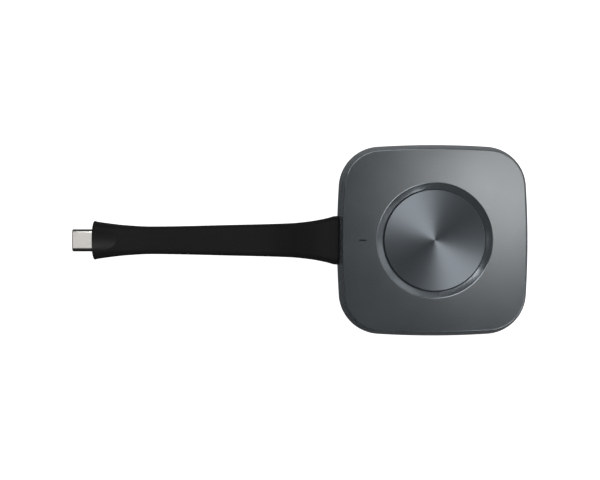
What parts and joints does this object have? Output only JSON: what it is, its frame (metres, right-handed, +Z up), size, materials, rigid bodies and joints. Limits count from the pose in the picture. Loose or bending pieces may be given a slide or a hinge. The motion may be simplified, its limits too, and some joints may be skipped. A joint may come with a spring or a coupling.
{
  "type": "streaming media player",
  "caption": "Flat rounded-square wireless streaming puck with a large sprung push button and a short flexible strap ending in a USB-C plug.",
  "frame": {"origin": "under the middle of the square housing, on the surface it stands on", "axes": "+Z up through the button, -X towards the lead and its plug, +Y to the left of a person looking along +X"},
  "size_m": [0.1674, 0.07, 0.0151],
  "materials": {
    "cover_paint": "fine-grained dark grey metallic paint, semi-gloss",
    "base_plastic": "dark grey moulded plastic, satin",
    "foot_rubber": "black matt silicone rubber",
    "label_film": "blank grey film, satin",
    "inner_plastic": "black moulded plastic, matt",
    "spun_metal": "grey anodised, spun with concentric lines",
    "silicone": "grey silicone, matt",
    "switch_plastic": "black glass-filled nylon",
    "stem_plastic": "off-white acetal",
    "board": "green solder mask over glass fibre",
    "chip": "black moulded epoxy",
    "ferrite": "dark grey pressed ferrite",
    "thermal_silicone": "soft blue-grey filled silicone",
    "sheet_aluminium": "rolled sheet",
    "tinned_steel": "bright tin plate",
    "led_lens": "diffusing resin",
    "clear_plastic": "smoke-tinted clear moulded plastic, which hides the light until it is on",
    "contact_metal": "gold-plated copper alloy",
    "strap_rubber": "soft-touch black elastomer, fine matt grain",
    "cable_jacket": "black cable jacket",
    "inner_mould": "black inner mould",
    "connector_plastic": "cream nylon",
    "plug_steel": "nickel-plated, drawn",
    "plug_plastic": "black liquid-crystal polymer",
    "screw_steel": "black-zinc plated",
    "spring_steel": "bright music wire"
  },
  "bodies": {
    "housing": {"antenna_left": "contact_metal", "antenna_right": "contact_metal", "board_header": "connector_plastic", "board_screw_1": "screw_steel", "board_screw_2": "screw_steel", "board_screw_3": "screw_steel", "bottom_cover": "base_plastic", "cable_connector": "connector_plastic", "cable_core": "cable_jacket", "cable_strap": "strap_rubber", "foot_pad": "foot_rubber", "heat_spreader": "sheet_aluminium", "housing_screw_1": "screw_steel", "housing_screw_2": "screw_steel", "housing_screw_3": "screw_steel", "housing_screw_4": "screw_steel", "light_pipe": "clear_plastic", "main_board": "board", "memory_chip": "chip", "plug_board": "board", "plug_shield": "tinned_steel", "power_inductor": "ferrite", "processor": "chip", "rating_label": "label_film", "return_spring_1": "spring_steel", "return_spring_2": "spring_steel", "return_spring_3": "spring_steel", "spring_carrier": "inner_plastic", "status_led": "led_lens", "strap_anchor": "inner_mould", "switch_body": "switch_plastic", "thermal_pad": "thermal_silicone", "top_cover": "cover_paint", "usb_contacts_lower": "contact_metal", "usb_contacts_upper": "contact_metal", "usb_insulator": "plug_plastic", "usb_latch_left": "tinned_steel", "usb_latch_right": "tinned_steel", "usb_shell": "plug_steel", "wifi_chip": "chip", "wifi_shield": "tinned_steel"},
    "button": {"button_cap": "inner_plastic", "button_plate": "spun_metal", "damping_ring": "silicone"},
    "switch_stem": {"switch_stem": "stem_plastic"}
  },
  "joints": [
    {"name": "button_press", "type": "slide", "parent": "housing", "child": "button", "axis": [0, 0, -1], "range_m": [0, 0.0005], "stiffness_N_per_m": 2000, "springref_m": -0.0006, "deforming": ["return_spring_1", "return_spring_2", "return_spring_3"]},
    {"name": "switch_press", "type": "slide", "parent": "housing", "child": "switch_stem", "axis": [0, 0, -1], "range_m": [0, 0.0005]}
  ],
  "couplings": [
    {"joint": "switch_press", "follows": "button_press", "ratio": 1}
  ]
}
